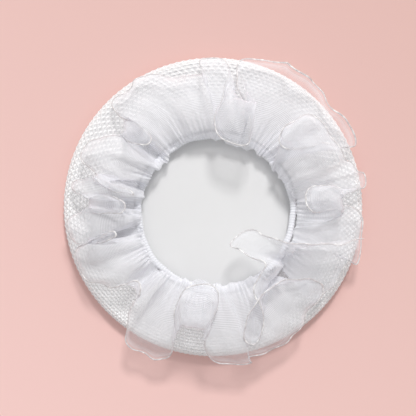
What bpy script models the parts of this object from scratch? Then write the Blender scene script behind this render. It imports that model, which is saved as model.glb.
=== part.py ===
"""Bun hairnet on its display disc, lying on its back with the opening up.

A knitted net pouch is drawn over a flat round disc. A gathered elastic band runs round its
opening, and an organza ribbon, gathered along one edge, is sewn on outside the elastic.
Metres, +Z up. The origin is under the middle of the net, on the surface it lies on.
"""
import math
from collections import namedtuple

import bmesh
import bpy
import numpy as np

# Driving dimensions
NET_RADIUS = 0.0600
NET_WALL = 0.0011
NET_LIFT = 0.0023
DISC_THICKNESS = 0.0040
CLEARANCE = 0.0003
OPENING_RADIUS = 0.0290
OPENING_SHIFT_X = 0.0010
OPENING_SHIFT_Y = -0.0022
ELASTIC_WIDTH = 0.0032
ELASTIC_HEIGHT = 0.0028
ELASTIC_RIB_DEPTH = 0.0006
RIBBON_WIDTH = 0.0320
RIBBON_WALL = 0.0010
PLEAT_HEIGHT = 0.0007
PLEAT_DEPTH = 0.0080

# How finely each piece is divided
NET_SIDES = 72
RIM_STEPS = 5
ELASTIC_RIBS = 60
RIBBON_COLUMNS = 240
RIBBON_ROWS = 5
RIBBON_PLEATS = 60
CURL_ONSET = 0.8

# Sizes that follow from them
RIM_ROUNDING = DISC_THICKNESS / 2 + CLEARANCE + NET_WALL
NET_HEIGHT = DISC_THICKNESS + 2 * (CLEARANCE + NET_WALL)
DISC_RADIUS = NET_RADIUS - NET_WALL - CLEARANCE
NET_MOUTH_RADIUS = OPENING_RADIUS + ELASTIC_WIDTH + CLEARANCE
NET_MOUTH_HEIGHT = NET_HEIGHT + NET_LIFT
SEAM_RADIUS = NET_MOUTH_RADIUS + RIBBON_WALL / 2
SEAM_HEIGHT = NET_MOUTH_HEIGHT + CLEARANCE + RIBBON_WALL

# The pouch's front from its mouth to where the rim turns down: how far out each ring lies, and how
# much of the lift is left there.
Station = namedtuple("Station", "outward lift")
FRONT_STATIONS = [
    Station(0.00, 1.00),
    Station(0.16, 0.86),
    Station(0.36, 0.45),
    Station(0.60, 0.12),
    Station(0.84, 0.00),
]

# The ribbon's folds, anticlockwise from its first cut end.
# root_at and edge_at are the angles of the fold's seam and of its free edge, in degrees round the opening.
# reach and rise are how far outside and above the seam the free edge lies, as shares of the ribbon's width.
# curl is how far the free edge swings sideways round the fold: above 3 it turns back under its neighbour.
# bow is the side that the ribbon bulges to between seam and edge: 1 up and inwards, -1 the other way.
Fold = namedtuple("Fold", "root_at edge_at reach rise curl bow")
FOLDS = [
    Fold(-27, -33, 0.78, -0.03, 1.0, 0.4),
    Fold(-22, -21, 0.66, 0.00, 1.2, 0.4),
    Fold(-13, -11, 0.70, -0.02, 2.4, 0.4),
    Fold(-4, -1, 0.26, 0.46, 1.6, 0.3),
    Fold(5, 6, 0.68, -0.02, 3.0, 0.8),
    Fold(14, 16, 0.32, 0.46, 1.6, 0.2),
    Fold(22, 26, 0.90, 0.10, 3.8, 1.0),
    Fold(30, 31, 0.48, 0.42, 1.8, 0.6),
    Fold(37, 40, 0.64, 0.28, 3.0, 0.8),
    Fold(44, 46, 0.30, 0.50, 1.6, 0.2),
    Fold(51, 51, 0.92, 0.20, 3.4, 1.0),
    Fold(58, 60, 0.74, 0.38, 1.6, 1.0),
    Fold(65, 68, 0.90, 0.10, 3.2, 1.0),
    Fold(73, 74, 0.47, 0.44, 2.2, 1.0),
    Fold(80, 81, 0.87, 0.03, 2.8, 1.0),
    Fold(86, 87, 0.62, 0.10, 2.0, 1.0),
    Fold(94, 98, 0.68, 0.02, 1.3, 1.0),
    Fold(104, 108, 0.71, 0.05, 1.2, 1.0),
    Fold(114, 119, 0.85, 0.02, 1.8, 1.0),
    Fold(124, 128, 0.76, 0.02, 1.7, 0.9),
    Fold(135, 136, 0.24, 0.46, 2.0, 0.7),
    Fold(146, 151, 0.72, 0.02, 3.8, 1.0),
    Fold(155, 161, 0.50, 0.36, 1.8, 1.0),
    Fold(164, 169, 0.70, 0.00, 3.6, 1.0),
    Fold(174, 175, 0.12, 0.48, 2.0, 0.6),
    Fold(184, 188, 0.77, -0.02, 2.6, 1.0),
    Fold(192, 192, 0.30, 0.46, 1.7, 0.6),
    Fold(201, 200, 0.75, 0.02, 3.6, 1.0),
    Fold(212, 215, 0.18, 0.48, 1.8, 0.2),
    Fold(223, 223, 0.76, -0.02, 3.6, 0.9),
    Fold(233, 235, 0.50, 0.38, 1.7, 0.9),
    Fold(243, 243, 0.90, 0.08, 3.6, 1.0),
    Fold(259, 259, 0.44, 0.44, 2.8, 1.0),
    Fold(272, 274, 0.765, 0.03, 3.8, 1.0),
    Fold(283, 285, 0.48, 0.42, 2.0, 1.0),
    Fold(292, 295, 0.77, 0.00, 3.6, 1.0),
    Fold(301, 305, 0.60, 0.28, 1.8, 1.0),
    Fold(309, 312, 0.76, -0.02, 2.4, 0.7),
    Fold(316, 316, 0.14, 0.48, 1.2, -0.3),
    Fold(320, 314, -0.28, 0.48, 1.0, -0.5),
    Fold(323, 292, -0.60, 0.26, 1.2, -0.8),
    Fold(325, 333, -0.58, 0.29, 1.2, -0.8),
    Fold(327, 336, -0.22, 0.48, 1.0, -0.5),
    Fold(329, 341, 0.14, 0.54, 1.0, 0.1),
    Fold(331, 347, 0.56, 0.44, 1.0, 0.5),
]


def clear_scene():
    """Remove every object of the startup file."""
    for thing in list(bpy.data.objects):
        bpy.data.objects.remove(thing, do_unlink=True)


def make_material(name, colour, roughness):
    """A Principled material; cloth, knit and board are none of them metal."""
    material = bpy.data.materials.new(name)
    material.use_nodes = True
    shader = material.node_tree.nodes["Principled BSDF"]
    shader.inputs["Base Color"].default_value = (*colour, 1.0)
    shader.inputs["Roughness"].default_value = roughness
    shader.inputs["Metallic"].default_value = 0.0
    return material


def add_mesh(name, verts, faces, material, collection):
    """A new object from corner points and faces, shaded smooth."""
    mesh = bpy.data.meshes.new(name)
    mesh.from_pydata([tuple(v) for v in verts], [], faces)
    mesh.update()
    mesh.shade_smooth()
    mesh.materials.append(material)
    thing = bpy.data.objects.new(name, mesh)
    collection.objects.link(thing)
    return thing


def grid_faces(rows, columns, close_rows=False, close_columns=False):
    """Four-cornered faces over a grid of points stored row by row."""
    faces = []
    for i in range(rows if close_rows else rows - 1):
        for j in range(columns if close_columns else columns - 1):
            k, m = (i + 1) % rows, (j + 1) % columns
            faces.append((i * columns + j, i * columns + m, k * columns + m, k * columns + j))
    return faces


def add_wall(thing, thickness, offset):
    """Give an open surface its wall: offset -1 keeps the surface as the outside, 0 as the middle."""
    wall = thing.modifiers.new("wall", "SOLIDIFY")
    wall.thickness = thickness
    wall.offset = offset
    wall.use_even_offset = offset != 0
    return wall


def front_ring(outward, height):
    """One ring of the pouch's front, between the off-centre mouth (0) and the start of the rim (1)."""
    turn = np.arange(NET_SIDES) * 2 * math.pi / NET_SIDES
    radius = NET_MOUTH_RADIUS + outward * (NET_RADIUS - RIM_ROUNDING - NET_MOUTH_RADIUS)
    return np.stack([OPENING_SHIFT_X * (1 - outward) + radius * np.cos(turn),
                     OPENING_SHIFT_Y * (1 - outward) + radius * np.sin(turn),
                     np.full(NET_SIDES, height)], 1)


def build_net_pouch(collection):
    """The knit bag: a flat back, a round rim and a front that rises to the mouth, all one wall thick."""
    rings = []
    for step in range(RIM_STEPS + 1):
        bend = math.pi * (step / RIM_STEPS - 0.5)
        ring = front_ring(1.0, RIM_ROUNDING * (1 + math.sin(bend)))
        ring[:, :2] *= 1 + RIM_ROUNDING * math.cos(bend) / (NET_RADIUS - RIM_ROUNDING)
        rings.append(ring)
    for station in reversed(FRONT_STATIONS):
        rings.append(front_ring(station.outward, NET_HEIGHT + station.lift * NET_LIFT))
    faces = grid_faces(len(rings), NET_SIDES, close_columns=True)
    faces.append(tuple(reversed(range(NET_SIDES))))
    material = make_material("knit_white", (0.80, 0.79, 0.81), 0.85)
    pouch = add_mesh("net_pouch", np.concatenate(rings), faces, material, collection)
    add_wall(pouch, NET_WALL, -1)
    return pouch


def build_display_disc(collection):
    """The flat disc inside the net, its edge rounded like the net's rim."""
    bpy.ops.mesh.primitive_cylinder_add(
        vertices=NET_SIDES, radius=DISC_RADIUS, depth=DISC_THICKNESS,
        location=(0, 0, NET_WALL + CLEARANCE + DISC_THICKNESS / 2))
    disc = bpy.context.active_object
    disc.name = "display_disc"
    disc.data.name = "display_disc"
    for owner in list(disc.users_collection):
        owner.objects.unlink(disc)
    collection.objects.link(disc)
    rounding = disc.modifiers.new("rounded edge", "BEVEL")
    rounding.width = DISC_THICKNESS * 0.49
    rounding.segments = 2
    rounding.limit_method = "ANGLE"
    rounding.angle_limit = math.radians(60)
    disc.data.materials.append(make_material("board_white", (0.82, 0.82, 0.83), 0.60))
    return disc


def build_elastic_band(collection):
    """The gathered band: a rounded flat section carried round the opening, drawn in at every rib."""
    count = ELASTIC_RIBS * 2
    corner = 0.28
    section = [(0, corner), (0, 1 - corner), (corner, 1), (1 - corner, 1),
               (1, 1 - corner), (1, corner), (1 - corner, 0), (corner, 0)]
    base = NET_MOUTH_HEIGHT - NET_WALL * 1.6
    rings = []
    for i in range(count):
        turn = i * 2 * math.pi / count
        drawn = ELASTIC_RIB_DEPTH * (i % 2)
        for across, up in section:
            radius = OPENING_RADIUS + drawn / 2 + across * (ELASTIC_WIDTH - drawn / 2)
            height = base + drawn / 2 + up * (ELASTIC_HEIGHT - drawn)
            rings.append((OPENING_SHIFT_X + radius * math.cos(turn),
                          OPENING_SHIFT_Y + radius * math.sin(turn), height))
    faces = grid_faces(count, len(section), close_rows=True, close_columns=True)
    material = make_material("elastic_white", (0.80, 0.80, 0.85), 0.70)
    return add_mesh("elastic_band", rings, faces, material, collection)


def fold_column(name):
    """One column of the fold table as an array."""
    return np.array([getattr(fold, name) for fold in FOLDS], float)


def arc_half_angle(ratio):
    """Half the angle of the circular arc whose chord is the given share of its length."""
    half = np.full_like(ratio, 1.2)
    for _ in range(30):
        miss = np.sin(half) / half - ratio
        slope = (half * np.cos(half) - np.sin(half)) / half**2
        half = np.clip(half - miss / slope, 0.02, 2.8)
    return half


def fold_lines(rows):
    """The line of each fold from seam to free edge: a circular arc as long as the ribbon is wide."""
    root_turn, edge_turn = np.radians(fold_column("root_at")), np.radians(fold_column("edge_at"))
    middle = np.array([OPENING_SHIFT_X, OPENING_SHIFT_Y, SEAM_HEIGHT])
    outward = np.stack([np.cos(root_turn), np.sin(root_turn), 0 * root_turn], 1)
    root = middle + SEAM_RADIUS * outward
    edge_radius = SEAM_RADIUS + fold_column("reach") * RIBBON_WIDTH
    edge = middle + np.stack([edge_radius * np.cos(edge_turn), edge_radius * np.sin(edge_turn),
                              fold_column("rise") * RIBBON_WIDTH], 1)
    chord = edge - root
    length = np.linalg.norm(chord, axis=1)
    along = chord / length[:, None]
    length = np.minimum(length, 0.985 * RIBBON_WIDTH)
    edge = root + along * length[:, None]
    side = (along * outward).sum(1)[:, None] * np.array([0, 0, 1.0]) - along[:, 2:3] * outward
    side -= (side * along).sum(1)[:, None] * along
    side /= np.linalg.norm(side, axis=1)[:, None]
    half = arc_half_angle(length / RIBBON_WIDTH) * fold_column("bow")
    half = np.where(np.abs(half) < 0.02, 0.02, half)
    radius = (length / (2 * np.sin(half)))[:, None, None]
    bend = ((2 * np.linspace(0, 1, rows + 1) - 1)[None, :] * half[:, None])[..., None]
    return (((root + edge) / 2)[:, None, :] + radius * np.sin(bend) * along[:, None, :]
            + radius * (np.cos(bend) - np.cos(half)[:, None, None]) * side[:, None, :])


def between_folds(lines, place):
    """Points at fractional fold numbers, on a smooth curve through the fold lines.

    The curve swings sideways round each fold, least at the seam and most at the free edge.
    """
    share = np.linspace(0, 1, lines.shape[1])
    curl = 1 + (fold_column("curl") - 1)[:, None] * (share ** CURL_ONSET)[None, :]
    swing = np.gradient(lines, axis=0) * curl[..., None]
    first = np.minimum(place.astype(int), len(lines) - 2)
    t = (place - first)[:, None, None]
    return ((2 * t**3 - 3 * t**2 + 1) * lines[first] + (t**3 - 2 * t**2 + t) * swing[first]
            + (3 * t**2 - 2 * t**3) * lines[first + 1] + (t**3 - t**2) * swing[first + 1])


def height_over_net(x, y, gap):
    """Height of the surface a gap outside the pouch's front and rim; far below where there is no pouch."""
    from_axis = np.hypot(x, y)
    rim_start = NET_RADIUS - RIM_ROUNDING
    from_mouth = np.hypot(x - OPENING_SHIFT_X, y - OPENING_SHIFT_Y) - NET_MOUTH_RADIUS
    share = from_mouth / (rim_start - NET_MOUTH_RADIUS)
    lift = np.interp(share, [s.outward for s in FRONT_STATIONS], [s.lift for s in FRONT_STATIONS])
    front = NET_HEIGHT + NET_LIFT * lift + gap
    reach = RIM_ROUNDING + gap
    rim = RIM_ROUNDING + np.sqrt(np.maximum(reach**2 - np.maximum(from_axis - rim_start, 0)**2, 0))
    height = np.where(from_axis < rim_start, front, rim)
    return np.where(from_axis < rim_start + reach, height, -NET_RADIUS)


def ribbon_grid(columns, rows):
    """Points of the ribbon's middle surface, its columns spaced evenly along the free edge."""
    lines = fold_lines(rows)
    dense = np.linspace(0, len(FOLDS) - 1, 48 * (len(FOLDS) - 1) + 1)
    edge = between_folds(lines, dense)[:, -1]
    run = np.append(0, np.cumsum(np.linalg.norm(np.diff(edge, axis=0), axis=1)))
    at = np.linspace(0, run[-1], columns + 1)
    grid = between_folds(lines, np.interp(at, run, dense))
    share = np.linspace(0, 1, rows + 1)
    pleat = (1 - np.cos(2 * math.pi * RIBBON_PLEATS * at / run[-1])) / 2
    fade = np.clip(1 - share * RIBBON_WIDTH / PLEAT_DEPTH, 0, 1)
    grid[..., 2] += PLEAT_HEIGHT * pleat[:, None] * fade[None, :]
    lowest = height_over_net(grid[..., 0], grid[..., 1], CLEARANCE + RIBBON_WALL)
    grid[..., 2] = np.maximum(grid[..., 2], lowest)
    return grid


def build_ruffle(collection):
    """The gathered ribbon as one thin wall from its first cut end round to its last."""
    grid = ribbon_grid(RIBBON_COLUMNS, RIBBON_ROWS)
    faces = grid_faces(RIBBON_COLUMNS + 1, RIBBON_ROWS + 1)
    material = make_material("organza_white", (0.86, 0.86, 0.88), 0.45)
    ruffle = add_mesh("organza_ruffle", grid.reshape(-1, 3), faces, material, collection)
    add_wall(ruffle, RIBBON_WALL, 0)
    return ruffle


clear_scene()
parts = bpy.data.collections.new("bun_hairnet")
bpy.context.scene.collection.children.link(parts)
build_display_disc(parts)
build_net_pouch(parts)
build_elastic_band(parts)
build_ruffle(parts)
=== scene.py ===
"""Bun hairnet on its display disc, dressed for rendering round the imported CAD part.

The pieces follow the order in which the real thing is put together: the disc, the knitted net drawn
over it, the elastic at the net's opening, the gathered organza ribbon and its selvedges, then the
floor, the light and the camera. Metres, +Z up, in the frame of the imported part.
"""
import math
from collections import namedtuple

import bpy
import numpy as np
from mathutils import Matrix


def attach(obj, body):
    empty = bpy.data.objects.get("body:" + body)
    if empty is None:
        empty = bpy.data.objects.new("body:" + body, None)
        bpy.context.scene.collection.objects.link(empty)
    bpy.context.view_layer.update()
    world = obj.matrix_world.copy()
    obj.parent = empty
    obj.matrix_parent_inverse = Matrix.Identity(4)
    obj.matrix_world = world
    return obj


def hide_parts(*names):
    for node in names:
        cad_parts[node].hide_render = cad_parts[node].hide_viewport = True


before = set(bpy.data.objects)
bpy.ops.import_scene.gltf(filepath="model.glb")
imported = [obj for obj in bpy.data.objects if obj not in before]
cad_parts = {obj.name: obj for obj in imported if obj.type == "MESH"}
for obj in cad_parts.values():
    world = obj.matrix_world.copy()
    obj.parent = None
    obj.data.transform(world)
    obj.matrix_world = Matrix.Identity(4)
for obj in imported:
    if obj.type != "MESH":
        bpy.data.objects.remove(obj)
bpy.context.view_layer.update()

# The display disc
# A plain white board cut round, about 4 mm thick, with a soft edge. It is slipped inside the net to
# hold it flat, and shows through the opening and, in shadow, through the stitches.
BOARD_WHITE = (0.82, 0.825, 0.835, 1.0)
BOARD_SHADE = tuple(0.975 * level for level in BOARD_WHITE[:3]) + (1.0,)


def new_material(name):
    """An empty node material with one Principled shader.

    Returns the material, its nodes, the call that links sockets, and the shader.
    """
    material = bpy.data.materials.new(name)
    material.use_nodes = True
    tree = material.node_tree
    return material, tree.nodes, tree.links.new, tree.nodes["Principled BSDF"]


def noise(nodes, link, place, scale, detail, distortion=0.0):
    """The level, 0 to 1, of cloudy noise over a place: scale in waves a metre, detail in octaves."""
    node = nodes.new("ShaderNodeTexNoise")
    node.inputs["Scale"].default_value = scale
    node.inputs["Detail"].default_value = detail
    node.inputs["Distortion"].default_value = distortion
    link(place, node.inputs["Vector"])
    return node.outputs["Fac"]


def relief(nodes, link, height, strength, distance, under=None):
    """The normal of a fine relief, as high as the given level times distance.

    Where the normal of another relief is given as under, the fine one is laid over it.
    """
    node = nodes.new("ShaderNodeBump")
    node.inputs["Strength"].default_value = strength
    node.inputs["Distance"].default_value = distance
    link(height, node.inputs["Height"])
    if under is not None:
        link(under, node.inputs["Normal"])
    return node.outputs["Normal"]


def tint(nodes, link, shader, level, low, high, colour_low, colour_high):
    """Colours the shader from one colour to another as the level goes from low to high."""
    node = nodes.new("ShaderNodeValToRGB")
    first, last = node.color_ramp.elements
    first.position = low
    first.color = colour_low
    last.position = high
    last.color = colour_high
    link(level, node.inputs["Fac"])
    link(node.outputs["Color"], shader.inputs["Base Color"])


def board_material():
    """White board: a faint cloudy tone, fine paper tooth and a matt face."""
    material, nodes, link, shader = new_material("board_white")
    place = nodes.new("ShaderNodeTexCoord").outputs["Object"]
    clouds = noise(nodes, link, place, scale=40.0, detail=3.0)
    tint(nodes, link, shader, clouds, 0.35, 0.70, BOARD_SHADE, BOARD_WHITE)
    tooth = noise(nodes, link, place, scale=2600.0, detail=2.0)
    link(relief(nodes, link, tooth, strength=0.08, distance=0.0001), shader.inputs["Normal"])
    shader.inputs["Roughness"].default_value = 0.55
    return material


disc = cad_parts["display_disc"]
disc.data.materials.clear()
disc.data.materials.append(board_material())

# The net
# A round bag knitted of soft white yarn. Its courses run round the opening and its stitches lock each
# course to the next, which leaves small staggered oval holes. It is drawn over the disc and the board's
# edge stretches it: the stitches are longest at the top and crowd together where it is gathered.
NET_RADIUS = 0.0600
NET_WALL = 0.0011
NET_LIFT = 0.0023
DISC_THICKNESS = 0.0040
CLEARANCE = 0.0003
OPENING = np.array([0.0010, -0.0022])
OPENING_RADIUS = 0.0290
ELASTIC_WIDTH = 0.0032
STITCHES_ROUND = 158
FEWEST_STITCHES = 6
STITCHES_KEPT = 0.75
COURSE_PITCH = 0.00130
BACK_HOLE = 0.0008
LAST_COURSE_FROM_END = 0.0012
YARN_WIDTH = 0.00120
YARN_FLATNESS = 0.44
YARN_SIDES = 5
# The first yarn colour is painted shade in the grooves between the plies; the second is the yarn's own
# white.
YARN_GROOVE_PAINTED_SHADE = (0.945, 0.945, 0.955, 1.0)
YARN_WHITE = (0.985, 0.98, 0.99, 1.0)
POINTS_PER_STITCH = 6
STITCH_SWING = 0.00025
STITCH_LAP = 0.00020
STITCH_LEAN = 0.13
PROFILE_FRONT_POINTS = 60
PROFILE_RIM_POINTS = 40
PROFILE_BACK_POINTS = 80

RIM_ROUNDING = DISC_THICKNESS / 2 + CLEARANCE + NET_WALL
NET_HEIGHT = DISC_THICKNESS + 2 * (CLEARANCE + NET_WALL)
MOUTH_RADIUS = OPENING_RADIUS + ELASTIC_WIDTH + CLEARANCE
MOUTH_HEIGHT = NET_HEIGHT + NET_LIFT
RIM_START = NET_RADIUS - RIM_ROUNDING
FRONT_LENGTH = math.hypot(RIM_START - MOUTH_RADIUS, NET_LIFT)
RIM_LENGTH = math.pi * (RIM_ROUNDING - NET_WALL / 2)

# Slow unevenness, as waves of height * sin(count * turn + start + slant * across). Turn goes from 0 to 2 pi
# round the net or along the ribbon. Across is the course's number, or the share of the way over the ribbon.
Wave = namedtuple("Wave", "count height start slant", defaults=(0.0, 0.0))
STITCH_SIZES = [Wave(3, 0.18, slant=1.0), Wave(11, 0.12, slant=2.3)]
COURSE_DRIFT = [Wave(5, 0.00022, slant=0.21), Wave(13, 0.00014, slant=-0.35)]
COURSE_CROWDING = [Wave(1, 0.16, math.pi / 2 - 0.25), Wave(7, -0.012, slant=0.1)]


def put_mesh(name, points, quads, corner_uv, material):
    """A new object from points (n, 3), quads (m, 4) and the quads' corner UVs (m, 4, 2), shaded smooth."""
    mesh = bpy.data.meshes.new(name)
    mesh.vertices.add(len(points))
    mesh.vertices.foreach_set("co", np.asarray(points, np.float32).ravel())
    mesh.loops.add(quads.size)
    mesh.loops.foreach_set("vertex_index", quads.astype(np.int32).ravel())
    mesh.polygons.add(len(quads))
    mesh.polygons.foreach_set("loop_start", np.arange(0, quads.size, 4, dtype=np.int32))
    mesh.polygons.foreach_set("loop_total", np.full(len(quads), 4, np.int32))
    mesh.uv_layers.new(name="along_across")
    mesh.uv_layers[0].data.foreach_set("uv", np.asarray(corner_uv, np.float32).ravel())
    mesh.update(calc_edges=True)
    mesh.validate()
    mesh.shade_smooth()
    mesh.materials.append(material)
    piece = bpy.data.objects.new(name, mesh)
    bpy.context.scene.collection.objects.link(piece)
    return piece


def grid_quads(rows, columns, close_rows, close_columns):
    """The quads over a grid of points stored row by row, and the (row, column) of their corners.

    Where the grid closes, the corners count on past its last row or column, so that UVs don't run back.
    """
    i, j = np.meshgrid(np.arange(rows if close_rows else rows - 1),
                       np.arange(columns if close_columns else columns - 1), indexing="ij")
    i = i.ravel()
    j = j.ravel()
    corner_i = np.stack([i, i + 1, i + 1, i], 1)
    corner_j = np.stack([j, j, j + 1, j + 1], 1)
    quads = (corner_i % rows) * columns + corner_j % columns
    return quads, np.stack([corner_i, corner_j], -1)


def yarn_rings(name, centres, outward, width, flatness, sides, material):
    """Closed yarns joined in one mesh.

    Each yarn is a ring of centres (k, 3) with the fabric's outward direction (k, 3) at each. Round a centre
    lie the points centre + width / 2 * (cos a * side + flatness * sin a * up), where side is square to the
    yarn's run and to outward, and up to run and side. UVs are metres along the yarn and round it.
    """
    points, quads, uvs = [], [], []
    used = 0
    turn = np.arange(sides) * 2 * math.pi / sides
    for centre, normal in zip(centres, outward):
        run = np.roll(centre, -1, 0) - np.roll(centre, 1, 0)
        run /= np.linalg.norm(run, axis=1)[:, None]
        side = np.cross(run, normal)
        side /= np.linalg.norm(side, axis=1)[:, None]
        up = np.cross(side, run)
        ring = (centre[:, None, :] + width / 2 * (np.cos(turn)[None, :, None] * side[:, None, :]
                + flatness * np.sin(turn)[None, :, None] * up[:, None, :]))
        quad, corner = grid_quads(len(centre), sides, True, True)
        length = np.linalg.norm(centre - np.roll(centre, 1, 0), axis=1).sum()
        points.append(ring.reshape(-1, 3))
        quads.append(quad[:, ::-1] + used)
        uvs.append((corner * np.array([length / len(centre), math.pi * width / sides]))[:, ::-1])
        used += len(points[-1])
    return put_mesh(name, np.concatenate(points), np.concatenate(quads), np.concatenate(uvs), material)


def surface_place(nodes):
    """A point's place on its own surface, in metres along and across it."""
    node = nodes.new("ShaderNodeUVMap")
    node.uv_map = "along_across"
    return node.outputs["UV"]


def stripes(nodes, link, place, direction, scale, distortion, detail_scale=1.0):
    """The level, 0 to 1, of wavy stripes in one direction."""
    node = nodes.new("ShaderNodeTexWave")
    node.bands_direction = direction
    node.inputs["Scale"].default_value = scale
    node.inputs["Distortion"].default_value = distortion
    node.inputs["Detail Scale"].default_value = detail_scale
    link(place, node.inputs["Vector"])
    return node.outputs["Fac"]


def yarn_material():
    """Soft white yarn: plies that wind round the yarn as ridges, with painted shade in the grooves between
    them, and slight fuzz as sheen.
    """
    material, nodes, link, shader = new_material("knit_white")
    ply_ridges_and_painted_shade = stripes(nodes, link, surface_place(nodes), "DIAGONAL", scale=520.0, distortion=0.8)
    # Painted shade: where the ply ridges are low, in the grooves, the yarn is tinted darker.
    tint(nodes, link, shader, ply_ridges_and_painted_shade, 0.0, 1.0, YARN_GROOVE_PAINTED_SHADE, YARN_WHITE)
    link(relief(nodes, link, ply_ridges_and_painted_shade, strength=0.35, distance=0.0001), shader.inputs["Normal"])
    shader.inputs["Roughness"].default_value = 0.80
    shader.inputs["Sheen Weight"].default_value = 0.25
    shader.inputs["Sheen Roughness"].default_value = 0.50
    return material


def lift_at(share):
    """How much of the net's lift is left at a share of the way from the mouth to where the rim starts."""
    return np.interp(share, [0.0, 0.16, 0.36, 0.60, 0.84], [1.0, 0.86, 0.45, 0.12, 0.0])


def net_profile(distance):
    """The middle of the net's wall at distances along it, and the wall's whole length.

    The wall runs from the mouth out over the front, which sinks by the lift, round the rim on a half
    circle, and back under the disc nearly to its middle. For each distance come the radius, the height, the
    share of the way over the front, and the outward direction's parts away from the axis and up.
    """
    share = np.linspace(0, 1, PROFILE_FRONT_POINTS)
    arc = np.linspace(0, math.pi, PROFILE_RIM_POINTS)[1:]
    back = np.linspace(RIM_START, BACK_HOLE, PROFILE_BACK_POINTS)[1:]
    rim = RIM_ROUNDING - NET_WALL / 2
    radius = np.concatenate([MOUTH_RADIUS + share * (RIM_START - MOUTH_RADIUS),
                             RIM_START + rim * np.sin(arc), back])
    height = np.concatenate([NET_HEIGHT - NET_WALL / 2 + NET_LIFT * lift_at(share),
                             RIM_ROUNDING + rim * np.cos(arc), np.full(len(back), NET_WALL / 2)])
    share = np.concatenate([share, np.ones(len(arc) + len(back))])
    at = np.append(0, np.cumsum(np.hypot(np.diff(radius), np.diff(height))))
    run_out = np.gradient(radius, at)
    run_up = np.gradient(height, at)
    size = np.hypot(run_out, run_up)
    values = (radius, height, share, -run_up / size, run_out / size)
    return [np.interp(distance, at, value) for value in values], at[-1]


def wave_sum(waves, turn, across=0.0):
    """The sum of a table's waves."""
    return sum(wave.height * np.sin(wave.count * turn + wave.start + wave.slant * across) for wave in waves)


def course(number, distance, stitches):
    """One closed course of stitches: its centres and the net's outward direction there.

    The yarn swings to and fro across the course by STITCH_SWING, opposite to its neighbours, and leans back
    in each loop. It passes over the next course and under the last. Slow waves shift the stitches a little,
    so that they are wide at the top of the rim and crowded elsewhere.
    """
    count = stitches * POINTS_PER_STITCH
    turn = np.arange(count) * 2 * math.pi / count
    phase = stitches * turn + math.pi * number
    swing = STITCH_SWING * (1 + wave_sum(STITCH_SIZES, turn, number))
    drift = wave_sum(COURSE_DRIFT, turn, number)
    (radius, height, share, out_r, out_z), _ = net_profile(distance + swing * np.cos(phase) + drift)
    lean = STITCH_LEAN * np.sin(2 * phase) / stitches * 2 * math.pi
    angle = turn - wave_sum(COURSE_CROWDING, turn, number) - lean
    lap = STITCH_LAP * np.cos(phase)
    radius = radius + lap * out_r
    centre = np.stack([OPENING[0] * (1 - share) + radius * np.cos(angle),
                       OPENING[1] * (1 - share) + radius * np.sin(angle), height + lap * out_z], 1)
    return centre, np.stack([out_r * np.cos(angle), out_r * np.sin(angle), out_z], 1)


def knit(name, numbers, material):
    """The courses with the given numbers as one piece.

    Under the disc, the stitches crowd together towards the middle. Each time they have come down to the
    share STITCHES_KEPT of their width, only that share of them is kept.
    """
    centres, outward = [], []
    for number in numbers:
        distance = (number + 0.5) * COURSE_PITCH
        radius = net_profile(distance)[0][0]
        stitches = STITCHES_ROUND
        if distance > FRONT_LENGTH + RIM_LENGTH:
            drops = math.floor(math.log(RIM_START / radius) / math.log(1 / STITCHES_KEPT))
            stitches = max(FEWEST_STITCHES, round(STITCHES_ROUND * STITCHES_KEPT ** drops))
        centre, normal = course(number, distance, stitches)
        centres.append(centre)
        outward.append(normal)
    piece = yarn_rings(name, centres, outward, YARN_WIDTH, YARN_FLATNESS, YARN_SIDES, material)
    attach(piece, "root")
    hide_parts("net_pouch")


# The rim's piece takes a few courses under the disc too, so that no piece has over 200,000 triangles.
COURSES_UNDER_RIM = 5
wall_length = net_profile(0.0)[1]
courses = np.arange(int((wall_length - LAST_COURSE_FROM_END) / COURSE_PITCH))
front_courses = int(FRONT_LENGTH / COURSE_PITCH)
rim_courses = int((FRONT_LENGTH + RIM_LENGTH) / COURSE_PITCH) + COURSES_UNDER_RIM
yarn = yarn_material()
knit("knit_front", courses[:front_courses], yarn)
knit("knit_rim", courses[front_courses:rim_courses], yarn)
knit("knit_back", courses[rim_courses:], yarn)

# The net's loose fibres
# Fuzz from the yarn reaches across the small holes of the stretched net. One thin surface in the middle of
# the knit's wall stands for it, see-through where the fuzz is thin.
FIBRE_ROWS = 36
FIBRE_COLUMNS = 240
FIBRE_COVER = [(0.0, 0.74), (0.35, 0.78), (0.65, 0.96), (1.0, 1.0)]
FIBRE_LIFT = 0.00010
FIBRE_START = 0.0003
FIBRE_SHARE_OF_RIM = 0.7
FIBRE_CELL = 0.001
FIBRE_WHITE = (0.93, 0.93, 0.945, 1.0)


def grey_steps(nodes, link, level, stops):
    """Grey levels between stops, given as (place, level) pairs from place 0 to place 1."""
    node = nodes.new("ShaderNodeValToRGB")
    bands = node.color_ramp.elements
    bands[0].color = (stops[0][1],) * 3 + (1.0,)
    bands[-1].color = (stops[-1][1],) * 3 + (1.0,)
    for place, grey in stops[1:-1]:
        bands.new(place).color = (grey,) * 3 + (1.0,)
    link(level, node.inputs["Fac"])
    return node.outputs["Color"]


def fibre_material():
    """The loose fibres that cross the holes: a thin white haze, closer here and there."""
    material, nodes, link, shader = new_material("knit_fibres")
    place = nodes.new("ShaderNodeTexCoord").outputs["Object"]
    tufts = noise(nodes, link, place, scale=900.0, detail=2.0)
    link(grey_steps(nodes, link, tufts, FIBRE_COVER), shader.inputs["Alpha"])
    shader.inputs["Base Color"].default_value = FIBRE_WHITE
    shader.inputs["Roughness"].default_value = 1.0
    shader.inputs["Specular IOR Level"].default_value = 0.0
    return material


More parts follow.
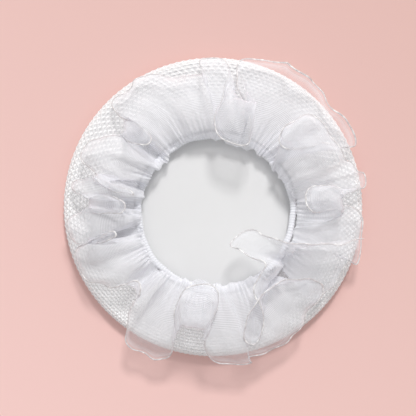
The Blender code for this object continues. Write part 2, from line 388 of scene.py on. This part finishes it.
def fibre_surface(rows, columns):
    """The middle of the net's wall over the front and down the rim, as points (rows, columns, 3)."""
    down = np.linspace(FIBRE_START, FRONT_LENGTH + FIBRE_SHARE_OF_RIM * RIM_LENGTH, rows)
    (radius, height, share, out_r, out_z), _ = net_profile(down)
    radius = radius + FIBRE_LIFT * out_r
    height = height + FIBRE_LIFT * out_z
    turn = np.arange(columns)[None, :] * 2 * math.pi / columns
    return np.stack([OPENING[0] * (1 - share)[:, None] + radius[:, None] * np.cos(turn),
                     OPENING[1] * (1 - share)[:, None] + radius[:, None] * np.sin(turn),
                     np.repeat(height[:, None], columns, 1)], -1)


haze = fibre_surface(FIBRE_ROWS, FIBRE_COLUMNS)
quads, corner = grid_quads(FIBRE_ROWS, FIBRE_COLUMNS, False, True)
fibres = put_mesh("knit_fibres", haze.reshape(-1, 3), quads, corner * FIBRE_CELL, fibre_material())
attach(fibres, "root")
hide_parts("net_pouch")

# The elastic
# A flat covered elastic sewn into the net's mouth. Relaxed, it draws the cover into fine ribs that run
# across it, a little uneven, as its sewing thread pulls more in some places than in others.
ELASTIC_HEIGHT = 0.0028
ELASTIC_RIBS = 176
RIB_DEPTH = 0.00034
POINTS_PER_RIB = 4
SECTION_POINTS = 16
SECTION_SQUARENESS = 3.2
ELASTIC_SWAY = [Wave(7, 0.00018, 0.4), Wave(17, 0.00012)]
RIB_UNEVENNESS = 0.35
RIB_BEND = 0.006
ELASTIC_SINK = 1.6 * NET_WALL
SIDE_INSET = 0.00025
# The first elastic colour is painted shade between the ribs; the second is the cover's own bluish white.
ELASTIC_GROOVE_PAINTED_SHADE = (0.80, 0.815, 0.87, 1.0)
ELASTIC_WHITE = (0.93, 0.94, 0.98, 1.0)


def elastic_surface():
    """A ring whose section is a rounded oblong, drawn in between its ribs.

    At angle t round the opening and a round the section, the section's reach is its half width and half
    height times (|cos a|^n + |sin a|^n)^(-1/n), with n the squareness, less
    RIB_DEPTH * (1 - |sin(ribs * t / 2)|). The depth varies round the ring, the ribs bend a little, and the
    ring sways in and out.
    """
    columns = ELASTIC_RIBS * POINTS_PER_RIB
    turn = np.arange(columns)[:, None] * 2 * math.pi / columns
    round_it = np.arange(SECTION_POINTS)[None, :] * 2 * math.pi / SECTION_POINTS
    square = (np.abs(np.cos(round_it)) ** SECTION_SQUARENESS
              + np.abs(np.sin(round_it)) ** SECTION_SQUARENESS) ** (-1 / SECTION_SQUARENESS)
    uneven = 1 + RIB_UNEVENNESS * np.sin(5 * turn + 0.6) * np.sin(13 * turn)
    bent = turn + RIB_BEND * np.sin(round_it) * np.sin(9 * turn)
    drawn = RIB_DEPTH * uneven * (1 - np.abs(np.sin(ELASTIC_RIBS * bent / 2)))
    radius = (OPENING_RADIUS + ELASTIC_WIDTH / 2 + wave_sum(ELASTIC_SWAY, turn)
              + np.cos(round_it) * (ELASTIC_WIDTH / 2 * square - drawn - SIDE_INSET))
    height = (MOUTH_HEIGHT - ELASTIC_SINK + ELASTIC_HEIGHT / 2
              + np.sin(round_it) * (ELASTIC_HEIGHT / 2 * square - drawn))
    return np.stack([OPENING[0] + radius * np.cos(turn), OPENING[1] + radius * np.sin(turn), height], -1)


def elastic_material():
    """Covered elastic: bluish white ribs with painted shade a little darker between them, and a soft satin
    face.
    """
    material, nodes, link, shader = new_material("elastic_white")
    threads = stripes(nodes, link, surface_place(nodes), "Y", scale=480.0, distortion=1.5, detail_scale=2.0)
    # Painted shade: where the thread stripes are low, as is their relief, the cover is tinted darker.
    tint(nodes, link, shader, threads, 0.0, 1.0, ELASTIC_GROOVE_PAINTED_SHADE, ELASTIC_WHITE)
    link(relief(nodes, link, threads, strength=0.3, distance=0.0001), shader.inputs["Normal"])
    shader.inputs["Roughness"].default_value = 0.60
    shader.inputs["Sheen Weight"].default_value = 0.15
    return material


ring = elastic_surface()
quads, corner = grid_quads(*ring.shape[:2], True, True)
rib_cell = np.array([2 * math.pi * OPENING_RADIUS / ring.shape[0],
                     2 * (ELASTIC_WIDTH + ELASTIC_HEIGHT) / SECTION_POINTS])
elastic = put_mesh("elastic_ribbed", ring.reshape(-1, 3), quads, corner * rib_cell, elastic_material())
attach(elastic, "root")
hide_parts("elastic_band")

# The organza ribbon
# One long strip of sheer, crisp organza, gathered along one edge and sewn on outside the elastic from its
# first cut end to its last. Fine gathers stand at the seam and open into large rolling folds at the free
# edge.
RIBBON_WIDTH = 0.0320
RIBBON_WALL = 0.0010
SEAM_RADIUS = MOUTH_RADIUS + RIBBON_WALL / 2
SEAM_HEIGHT = MOUTH_HEIGHT + CLEARANCE + RIBBON_WALL
RIBBON_COLUMNS = 1560
RIBBON_ROWS = 34
POINTS_PER_FOLD = 96
LONGEST_CHORD = 0.985
CURLED_BACK_STRETCH = 1.4
FLATTEST_ARC = 0.02
ROUNDEST_ARC = 2.8
ORGANZA_SHADE = (0.87, 0.88, 0.93, 1.0)
ORGANZA_WHITE = (0.945, 0.955, 1.0, 1.0)
GAP_COVER = 0.02
THREAD_COVER = 0.26
EDGE_ON_COVER = 0.55

# The cover added from the seam, 0, to the free edge, 1: where the cloth is crowded, and in the hem.
ADDED_COVER = [(0.0, 0.48), (0.14, 0.48), (0.40, 0.34), (0.70, 0.19), (0.88, 0.0), (0.936, 0.22),
               (0.952, 0.22), (0.966, 0.0), (1.0, 0.0)]

# root_at and edge_at are the angles of the fold's seam and of its free edge, in degrees round the opening.
# reach and rise are how far outside and above the seam the free edge lies, as shares of the ribbon's width.
# curl is how far the free edge swings sideways round the fold: above 3 it turns back under its neighbour.
# bow is how far and to which side the ribbon bulges between seam and edge: 1 up and inwards as far as its
# length allows, and -1 out over the net, from where its edge curls back.
Fold = namedtuple("Fold", "root_at edge_at reach rise curl bow")
FOLDS = [
    Fold(-40, -44, 0.62, 0.00, 1.0, 0.4),
    Fold(-33, -37, 0.64, 0.00, 1.2, 0.4),
    Fold(-27, -31, 0.68, 0.00, 1.2, 0.4),
    Fold(-20, -21, 0.70, 0.00, 1.6, 0.4),
    Fold(-12, -8, 0.80, -0.02, 6.0, 0.4),
    Fold(-2, 8, 0.06, 0.40, 4.0, -1.0),
    Fold(8, 11, 0.84, 0.02, 5.0, 0.8),
    Fold(15, 18, 0.76, 0.14, 2.0, 0.8),
    Fold(20, 25, 0.66, 0.28, 2.0, 1.0),
    Fold(26, 34, 0.64, 0.30, 1.6, 1.0),
    Fold(31, 44, 0.64, 0.30, 1.8, 1.0),
    Fold(35, 50, 0.42, 0.36, 2.0, 0.8),
    Fold(38, 45, 0.10, 0.40, 2.0, -0.6),
    Fold(40, 31, 0.60, 0.10, 1.5, 0.5),
    Fold(43, 26, 0.90, 0.02, 2.5, 0.6),
    Fold(46, 34, 0.95, 0.06, 1.6, 0.8),
    Fold(49, 43, 0.88, 0.12, 1.4, 0.8),
    Fold(53, 51, 0.96, 0.06, 1.6, 1.0),
    Fold(59, 60, 0.98, 0.18, 1.6, 1.0),
    Fold(66, 76, 0.92, 0.04, 7.0, 1.0),
    Fold(73, 75, -0.18, 0.44, 9.0, -1.0),
    Fold(81, 89, 0.86, 0.06, 7.0, 1.0),
    Fold(88, 95, 0.68, 0.08, 1.8, 1.0),
    Fold(95, 100, 0.70, 0.02, 1.3, 1.0),
    Fold(104, 109, 0.73, 0.04, 1.2, 1.0),
    Fold(114, 119, 0.88, 0.02, 2.0, 1.0),
    Fold(122, 125, 0.82, 0.02, 1.6, 0.9),
    Fold(128, 134, 0.82, 0.02, 2.0, 0.9),
    Fold(136, 133, 0.13, 0.36, 2.8, -1.0),
    Fold(144, 146, 0.64, 0.14, 1.6, 0.9),
    Fold(150, 155, 0.76, 0.08, 2.4, 1.0),
    Fold(155, 163, 0.46, 0.22, 1.6, 0.6),
    Fold(160, 168, -0.02, 0.42, 3.0, -1.0),
    Fold(167, 169, 0.78, 0.00, 8.0, 1.0),
    Fold(175, 176, 0.06, 0.40, 2.4, -1.0),
    Fold(184, 187, 0.80, 0.04, 8.0, 1.0),
    Fold(192, 192, 0.20, 0.36, 3.0, -1.0),
    Fold(199, 197, 0.76, 0.02, 4.0, 1.0),
    Fold(206, 205, 0.78, 0.02, 2.0, 0.8),
    Fold(213, 214, 0.58, 0.12, 1.6, 0.7),
    Fold(222, 223, 0.22, 0.32, 1.7, -0.8),
    Fold(231, 230, 0.62, 0.16, 1.6, 0.8),
    Fold(237, 236, 0.91, 0.05, 1.5, 0.9),
    Fold(243, 243, 0.92, 0.04, 1.4, 1.0),
    Fold(249, 251, 0.86, 0.04, 2.4, 1.0),
    Fold(259, 261, -0.16, 0.42, 4.5, -1.0),
    Fold(272, 273, 0.82, 0.08, 7.0, 1.0),
    Fold(283, 284, 0.79, 0.12, 1.3, 0.6),
    Fold(292, 295, 0.80, 0.00, 1.8, 1.0),
    Fold(299, 304, 0.74, 0.02, 1.6, 0.8),
    Fold(305, 315, 0.64, 0.02, 2.0, 0.7),
    Fold(309, 325, 0.58, 0.06, 2.0, 0.6),
    Fold(311, 321, 0.24, 0.34, 1.2, -0.3),
    Fold(313, 302, 0.08, 0.42, 1.2, -0.3),
    Fold(315, 284, 0.40, 0.36, 1.4, 0.2),
    Fold(317, 286, 0.64, 0.20, 2.0, 0.6),
    Fold(319, 293, 0.46, 0.30, 1.2, 0.4),
    Fold(321, 295, 0.20, 0.38, 1.2, 0.1),
    Fold(323, 298, -0.04, 0.44, 1.3, -0.3),
    Fold(324, 313, -0.16, 0.47, 1.4, -0.4),
    Fold(325, 310, -0.32, 0.46, 1.2, -0.5),
    Fold(326, 295, -0.62, 0.28, 2.0, -0.8),
    Fold(328, 333, -0.58, 0.29, 1.2, -0.8),
    Fold(329, 336, -0.22, 0.48, 1.0, -0.5),
    Fold(330, 341, 0.14, 0.54, 1.0, 0.1),
    Fold(332, 347, 0.56, 0.44, 1.0, 0.5),
    Fold(333, 350, 0.80, 0.16, 1.0, 0.6),
]


def fold_column(name):
    """One column of the fold table as an array."""
    return np.array([getattr(fold, name) for fold in FOLDS], float)


def arc_half_angle(ratio):
    """Half the angle of the circular arc whose chord is the given share of its length.

    It is the root of sin(half) / half = ratio, found by Newton's steps.
    """
    half = np.full_like(ratio, 1.2)
    for _ in range(30):
        miss = np.sin(half) / half - ratio
        slope = (half * np.cos(half) - np.sin(half)) / half**2
        half = np.clip(half - miss / slope, FLATTEST_ARC, ROUNDEST_ARC)
    return half


def fold_lines(rows):
    """The line of each fold from seam to free edge, as points (folds, rows + 1, 3).

    With a bow of 1 or -1 it is the circular arc that is as long as the ribbon is wide, and with less it is
    the flatter arc of that share of its angle. At -1 its bulge is also stretched by CURLED_BACK_STRETCH. An
    edge too far away for the ribbon to reach is drawn in.
    """
    root_turn = np.radians(fold_column("root_at"))
    edge_turn = np.radians(fold_column("edge_at"))
    middle = np.array([OPENING[0], OPENING[1], SEAM_HEIGHT])
    outward = np.stack([np.cos(root_turn), np.sin(root_turn), 0 * root_turn], 1)
    root = middle + SEAM_RADIUS * outward
    edge_radius = SEAM_RADIUS + fold_column("reach") * RIBBON_WIDTH
    edge = middle + np.stack([edge_radius * np.cos(edge_turn), edge_radius * np.sin(edge_turn),
                              fold_column("rise") * RIBBON_WIDTH], 1)
    chord = edge - root
    length = np.linalg.norm(chord, axis=1)
    along = chord / length[:, None]
    length = np.minimum(length, LONGEST_CHORD * RIBBON_WIDTH)
    edge = root + along * length[:, None]
    side = (along * outward).sum(1)[:, None] * np.array([0, 0, 1.0]) - along[:, 2:3] * outward
    side -= (side * along).sum(1)[:, None] * along
    side /= np.linalg.norm(side, axis=1)[:, None]
    bow = fold_column("bow")
    side *= np.where(bow <= -1, CURLED_BACK_STRETCH, 1.0)[:, None]
    half = arc_half_angle(length / RIBBON_WIDTH) * bow
    half = np.where(np.abs(half) < FLATTEST_ARC, FLATTEST_ARC, half)
    radius = (length / (2 * np.sin(half)))[:, None, None]
    bend = ((2 * np.linspace(0, 1, rows + 1) - 1)[None, :] * half[:, None])[..., None]
    return (((root + edge) / 2)[:, None, :] + radius * np.sin(bend) * along[:, None, :]
            + radius * (np.cos(bend) - np.cos(half)[:, None, None]) * side[:, None, :])


def between_folds(lines, place):
    """Points at fractional fold numbers, on a smooth curve through the fold lines.

    It is a cubic between two folds, and its slope at a fold runs from the fold before to the fold after.
    The slope's part square to the opening's radius is multiplied by the curl, and the rest is divided by the
    curl's square root, so that the curve swings sideways round the fold. The curl grows evenly from 1 at
    the seam to the fold's own at the free edge.
    """
    share = np.linspace(0, 1, lines.shape[1])
    curl = 1 + (fold_column("curl") - 1)[:, None] * share[None, :]
    slope = np.gradient(lines, axis=0)
    outward = lines[..., :2] - OPENING
    outward /= np.linalg.norm(outward, axis=2)[..., None]
    sideways = np.stack([-outward[..., 1], outward[..., 0], 0 * outward[..., 0]], -1)
    more = (slope * sideways).sum(2) * (curl - curl ** -0.5)
    swing = slope * (curl ** -0.5)[..., None] + more[..., None] * sideways
    first = np.minimum(place.astype(int), len(lines) - 2)
    t = (place - first)[:, None, None]  # how far each point is from its first fold to the next, 0 to 1
    return ((2 * t**3 - 3 * t**2 + 1) * lines[first] + (t**3 - 2 * t**2 + t) * swing[first]
            + (3 * t**2 - 2 * t**3) * lines[first + 1] + (t**3 - t**2) * swing[first + 1])


def height_over_net(x, y, gap):
    """Height of the surface a gap outside the net's front and rim; far below where there is no net."""
    from_axis = np.hypot(x, y)
    share = (np.hypot(x - OPENING[0], y - OPENING[1]) - MOUTH_RADIUS) / (RIM_START - MOUTH_RADIUS)
    front = NET_HEIGHT + NET_LIFT * lift_at(share) + gap
    reach = RIM_ROUNDING + gap
    rim = RIM_ROUNDING + np.sqrt(np.maximum(reach**2 - np.maximum(from_axis - RIM_START, 0) ** 2, 0))
    return np.where(from_axis < RIM_START + reach, np.where(from_axis < RIM_START, front, rim), -NET_RADIUS)


# How far each part of the ribbon bulges inwards over the elastic, as shares of the ribbon's width.
Bulge = namedtuple("Bulge", "at inwards")
BULGES = [
    Bulge(-28, 0.05), Bulge(-14, 0.03), Bulge(8, 0.03), Bulge(14, 0.06), Bulge(22, 0.10),
    Bulge(30, 0.14), Bulge(44, 0.14), Bulge(58, 0.14), Bulge(73, 0.19), Bulge(86, 0.14),
    Bulge(104, 0.09), Bulge(124, 0.06), Bulge(134, 0.18), Bulge(146, 0.13), Bulge(160, 0.12),
    Bulge(190, 0.10), Bulge(201, 0.07), Bulge(212, 0.05), Bulge(223, 0.05), Bulge(235, 0.07),
    Bulge(243, 0.11), Bulge(259, 0.19), Bulge(272, 0.14), Bulge(283, 0.14), Bulge(301, 0.12),
    Bulge(312, 0.05), Bulge(320, 0.0), Bulge(331, 0.0),
]

PUFF_REACH = 0.5
PUFF_RISE = 0.2
LEAST_BULGE = 0.0009
CLUMPS = [Wave(29, 0.00040, 0.5), Wave(43, 0.00028, 2.0)]
GATHERS = 118
GATHER_HEIGHT = 0.00055
GATHER_REACH = 0.45
GATHER_SPACING = [Wave(7.3, 2.0, 0.4), Wave(19.1, 1.3, 1.0), Wave(20 / math.pi, 0.5, slant=9.0)]
GATHER_SIZES = [Wave(23.7, 0.5, 2.0), Wave(41.3, 0.4)]
CRINKLES = [Wave(61, 0.00026, 0.0, 7.0), Wave(97, 0.00026, 1.7, -11.0), Wave(37, 0.00026, 0.6, 17.0)]


def ribbon_surface(columns, rows):
    """Points of the ribbon (columns + 1, rows + 1, 3), evenly spaced along its free edge, and its length.

    The smooth surface through the folds is first pushed inwards over the elastic by its bulge and the
    clumps of the gathers, most at the seam and not at all beyond PUFF_REACH of the width. Two reliefs are
    then added along its own normal. One is the gathers, which are counted along the seam, are highest a
    little way up the cloth and are gone beyond GATHER_REACH. The other is a crinkle, which grows from
    nothing at the seam to its whole height at the free edge. Where the cloth would enter the net, it is
    raised to lie on it.
    """
    lines = fold_lines(rows)
    dense = np.linspace(0, len(FOLDS) - 1, POINTS_PER_FOLD * (len(FOLDS) - 1) + 1)
    edge = between_folds(lines, dense)[:, -1]
    run = np.append(0, np.cumsum(np.linalg.norm(np.diff(edge, axis=0), axis=1)))
    at = np.linspace(0, run[-1], columns + 1)
    place = np.interp(at, run, dense)
    grid = between_folds(lines, place)
    root_at = np.interp(place, np.arange(len(FOLDS)), fold_column("root_at"))
    seam_turn = 2 * math.pi * ((root_at - root_at[0]) / (root_at[-1] - root_at[0]))[:, None]
    edge_turn = 2 * math.pi * (at / run[-1])[:, None]
    share = np.linspace(0, 1, rows + 1)[None, :]

    bulge = np.interp(root_at, [b.at for b in BULGES], [b.inwards for b in BULGES]) * RIBBON_WIDTH
    inwards = np.maximum(bulge + wave_sum(CLUMPS, seam_turn)[:, 0], LEAST_BULGE)
    belly = inwards[:, None] * np.clip(1 - (share / PUFF_REACH) ** 1.5, 0, 1)
    from_middle = grid[..., :2] - OPENING
    from_middle /= np.linalg.norm(from_middle, axis=2)[..., None]
    grid[..., :2] -= belly[..., None] * from_middle
    grid[..., 2] += PUFF_RISE * belly

    normal = np.cross(np.gradient(grid, axis=0), np.gradient(grid, axis=1))
    normal /= np.maximum(np.linalg.norm(normal, axis=2), 1e-12)[..., None]
    phase = GATHERS * seam_turn + wave_sum(GATHER_SPACING, seam_turn, share)
    size = 1 + wave_sum(GATHER_SIZES, seam_turn)
    fade = (0.35 + 2.6 * share) * np.clip(1 - share / GATHER_REACH, 0, 1) ** 1.3
    gather = GATHER_HEIGHT * size * fade * np.sin(phase)
    crinkle = share * wave_sum(CRINKLES, edge_turn, share)
    grid = grid + (gather + crinkle)[..., None] * normal
    grid[..., 2] = np.maximum(grid[..., 2], height_over_net(grid[..., 0], grid[..., 1], CLEARANCE))
    return grid, run[-1]


def rescale(nodes, link, level, low, high, new_low, new_high):
    """The level mapped from low..high to new_low..new_high and held there beyond the ends."""
    node = nodes.new("ShaderNodeMapRange")
    node.inputs["From Min"].default_value = low
    node.inputs["From Max"].default_value = high
    node.inputs["To Min"].default_value = new_low
    node.inputs["To Max"].default_value = new_high
    link(level, node.inputs["Value"])
    return node.outputs["Result"]


def maths(nodes, link, operation, *terms, clamp=False):
    """The value of one Math node, whose terms are constants or other nodes' outputs."""
    node = nodes.new("ShaderNodeMath")
    node.operation = operation
    node.use_clamp = clamp
    for socket, term in zip(node.inputs, terms):
        if isinstance(term, float):
            socket.default_value = term
        else:
            link(term, socket)
    return node.outputs[0]


def organza_material():
    """Sheer organza: fine crossed threads that are whiter and closer to solid than the gaps between them.

    The weave follows the ribbon's own UVs in metres. A surface seen on edge shows more thread and less gap,
    so the cover rises towards grazing sight. It also rises towards the seam, where the cloth is crowded,
    and in the narrow hem inside the selvedge. Streaks across the ribbon and soft crumples catch the light,
    and part of it passes through as a soft glow.
    """
    material, nodes, link, shader = new_material("organza_white")
    place = surface_place(nodes)
    warp = stripes(nodes, link, place, "X", scale=640.0, distortion=0.6, detail_scale=1.2)
    weft = stripes(nodes, link, place, "Y", scale=640.0, distortion=0.6, detail_scale=1.2)
    threads = maths(nodes, link, "MAXIMUM", warp, weft)
    tint(nodes, link, shader, threads, 0.2, 0.9, ORGANZA_SHADE, ORGANZA_WHITE)

    weave = rescale(nodes, link, threads, 0.35, 1.0, GAP_COVER, THREAD_COVER)
    facing = nodes.new("ShaderNodeLayerWeight")
    facing.inputs["Blend"].default_value = 0.28
    edge_on = maths(nodes, link, "MULTIPLY_ADD", facing.outputs["Facing"], EDGE_ON_COVER, weave)
    split = nodes.new("ShaderNodeSeparateXYZ")
    link(place, split.inputs["Vector"])
    across = maths(nodes, link, "DIVIDE", split.outputs["Y"], RIBBON_WIDTH)
    added = grey_steps(nodes, link, across, ADDED_COVER)
    link(maths(nodes, link, "ADD", edge_on, added, clamp=True), shader.inputs["Alpha"])

    crumples = noise(nodes, link, place, scale=210.0, detail=2.0, distortion=0.8)
    crumpled = relief(nodes, link, crumples, strength=0.35, distance=0.0016)
    stretched = nodes.new("ShaderNodeMapping")
    stretched.inputs["Scale"].default_value = (1.0, 0.10, 1.0)
    link(place, stretched.inputs["Vector"])
    streaks = noise(nodes, link, stretched.outputs["Vector"], scale=700.0, detail=3.0)
    streaked = relief(nodes, link, streaks, strength=0.4, distance=0.0004, under=crumpled)
    link(streaked, shader.inputs["Normal"])
    shader.inputs["Roughness"].default_value = 0.42
    shader.inputs["Sheen Weight"].default_value = 0.06
    shader.inputs["Sheen Roughness"].default_value = 0.35
    shader.inputs["Transmission Weight"].default_value = 0.10
    shader.inputs["IOR"].default_value = 1.15
    return material


ribbon_grid, ribbon_length = ribbon_surface(RIBBON_COLUMNS, RIBBON_ROWS)
quads, corner = grid_quads(RIBBON_COLUMNS + 1, RIBBON_ROWS + 1, False, False)
ribbon = put_mesh("organza_ribbon", ribbon_grid.reshape(-1, 3), quads,
                  corner * np.array([ribbon_length / RIBBON_COLUMNS, RIBBON_WIDTH / RIBBON_ROWS]),
                  organza_material())
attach(ribbon, "root")
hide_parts("organza_ruffle")

# The ribbon's selvedge
# The ribbon's free edge is woven over a stiff clear thread, which gives it a thin glassy border. Small
# bright glints along it are painted highlights in its colour and cover.
SELVEDGE_WIDTH = 0.00068
SELVEDGE_FLATNESS = 0.6
SELVEDGE_SIDES = 6
# The second colour is a painted highlight, for the glints along the thread.
SELVEDGE_CLEAR = (0.82, 0.80, 0.81, 1.0)
SELVEDGE_PAINTED_GLINT = (1.0, 1.0, 1.0, 1.0)


def edge_thread(name, centres, inward, width, flatness, material):
    """An open flat thread along centres (k, 3), with its wide side along the cloth's inward direction.

    Round a centre lie the points centre + width / 2 * (cos a * side + flatness * sin a * up), where side is
    the part of inward that is square to the thread's run, and up is square to both.
    """
    run = np.gradient(centres, axis=0)
    run /= np.linalg.norm(run, axis=1)[:, None]
    side = inward - (inward * run).sum(1)[:, None] * run
    side /= np.linalg.norm(side, axis=1)[:, None]
    up = np.cross(run, side)
    turn = (np.arange(SELVEDGE_SIDES) * 2 * math.pi / SELVEDGE_SIDES)[None, :, None]
    ring = (centres[:, None, :] + width / 2 * (np.cos(turn) * side[:, None, :]
            + flatness * np.sin(turn) * up[:, None, :]))
    quad, corner = grid_quads(len(centres), SELVEDGE_SIDES, False, True)
    length = np.linalg.norm(np.diff(centres, axis=0), axis=1).sum()
    cell = np.array([length / len(centres), width * 3 / SELVEDGE_SIDES])
    return put_mesh(name, ring.reshape(-1, 3), quad[:, ::-1], (corner * cell)[:, ::-1], material)


def selvedge_material():
    """Clear thread bound with white: half see-through, glossy, with small painted highlights along it as
    glints.
    """
    material, nodes, link, shader = new_material("selvedge_white")
    painted_glints = noise(nodes, link, surface_place(nodes), scale=420.0, detail=1.0)
    # Painted highlights: noise spots are tinted to white and made more solid, standing for glints of light.
    tint(nodes, link, shader, painted_glints, 0.48, 0.66, SELVEDGE_CLEAR, SELVEDGE_PAINTED_GLINT)
    link(rescale(nodes, link, painted_glints, 0.40, 0.66, 0.50, 1.0), shader.inputs["Alpha"])
    shader.inputs["Roughness"].default_value = 0.22
    shader.inputs["Specular IOR Level"].default_value = 0.8
    return material


selvedge = edge_thread("organza_selvedge", ribbon_grid[:, -1], ribbon_grid[:, -2] - ribbon_grid[:, -1],
                       SELVEDGE_WIDTH, SELVEDGE_FLATNESS, selvedge_material())
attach(selvedge, "root")
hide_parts("organza_ruffle")

# The floor, the light and the camera
# A pale pink floor with painted light that is brighter at the lower left of the picture, one large soft
# light from beyond the top of the picture, an even fill from all round, and a camera half a metre straight
# above, which shows METRES_PER_PIXEL at SCALE_HEIGHT.
# The two floor colours and their slope are painted light: lighter at the lower left of the picture, dimmer
# at the upper right.
FLOOR_PAINTED_LIT = (0.925, 0.628, 0.597, 1.0)
FLOOR_PAINTED_DIM = (0.745, 0.484, 0.446, 1.0)
FLOOR_PAINTED_LIGHT_SLOPE = (-1.6, -2.6, 0.0)
FLOOR_HALF = 2.0
LIGHT_PLACE = (0.30, 1.92, 2.15)
LIGHT_SIZE = 0.50
LIGHT_POWER = 49.0
LIGHT_WHITE = (1.0, 0.985, 0.97)
FILL_WHITE = (1.0, 0.99, 0.98, 1.0)
FILL_STRENGTH = 0.57
CAMERA_HEIGHT = 0.500
SCALE_HEIGHT = 0.004
METRES_PER_PIXEL = 0.0004
FRAME_PIXELS = 416
NET_CENTRE_PIXEL = (213.0, 207.0)


def floor_material():
    """Matt pale pink with painted light: a little brighter at the lower left of the picture than at the
    upper right.
    """
    material, nodes, link, shader = new_material("floor_pink")
    across = nodes.new("ShaderNodeVectorMath")
    across.operation = "DOT_PRODUCT"
    across.inputs[1].default_value = FLOOR_PAINTED_LIGHT_SLOPE
    link(nodes.new("ShaderNodeTexCoord").outputs["Object"], across.inputs[0])
    level = maths(nodes, link, "ADD", across.outputs["Value"], 0.5)
    # Painted light: the floor's colour runs from the dim tone to the lit tone along the slope.
    tint(nodes, link, shader, level, 0.12, 0.88, FLOOR_PAINTED_DIM, FLOOR_PAINTED_LIT)
    shader.inputs["Roughness"].default_value = 0.75
    return material


def flat_floor(half, z):
    """A square floor of four corners."""
    points = np.array([(-half, -half, z), (half, -half, z), (half, half, z), (-half, half, z)])
    return put_mesh("floor", points, np.array([[0, 1, 2, 3]]), points[None, :, :2], floor_material())


floor = flat_floor(FLOOR_HALF, 0.0)


def area_light(name, place, target, size, power, colour):
    """A square area light at place that shines at target."""
    light = bpy.data.lights.new(name, "AREA")
    light.shape = "SQUARE"
    light.size = size
    light.energy = power
    light.color = colour
    lamp = bpy.data.objects.new(name, light)
    bpy.context.scene.collection.objects.link(lamp)
    lamp.location = place
    away = np.array(place) - np.array(target)
    lamp.rotation_euler = (math.atan2(math.hypot(away[0], away[1]), away[2]), 0.0,
                           math.atan2(away[1], away[0]) + math.pi / 2)


area_light("soft_light", LIGHT_PLACE, (0.0, 0.0, 0.0), LIGHT_SIZE, LIGHT_POWER, LIGHT_WHITE)
world = bpy.data.worlds.new("even_fill")
bpy.context.scene.world = world
world.use_nodes = True
world.node_tree.nodes["Background"].inputs["Color"].default_value = FILL_WHITE
world.node_tree.nodes["Background"].inputs["Strength"].default_value = FILL_STRENGTH

camera_data = bpy.data.cameras.new("camera")
camera = bpy.data.objects.new("camera", camera_data)
bpy.context.scene.collection.objects.link(camera)
middle_pixel = FRAME_PIXELS / 2
camera.location = ((middle_pixel - NET_CENTRE_PIXEL[0]) * METRES_PER_PIXEL,
                   (NET_CENTRE_PIXEL[1] - middle_pixel) * METRES_PER_PIXEL, CAMERA_HEIGHT)
width_shown = FRAME_PIXELS * METRES_PER_PIXEL
camera_data.lens = camera_data.sensor_width * (CAMERA_HEIGHT - SCALE_HEIGHT) / width_shown
camera_data.clip_start = 0.01
bpy.context.scene.camera = camera
bpy.context.scene.view_settings.view_transform = "Standard"
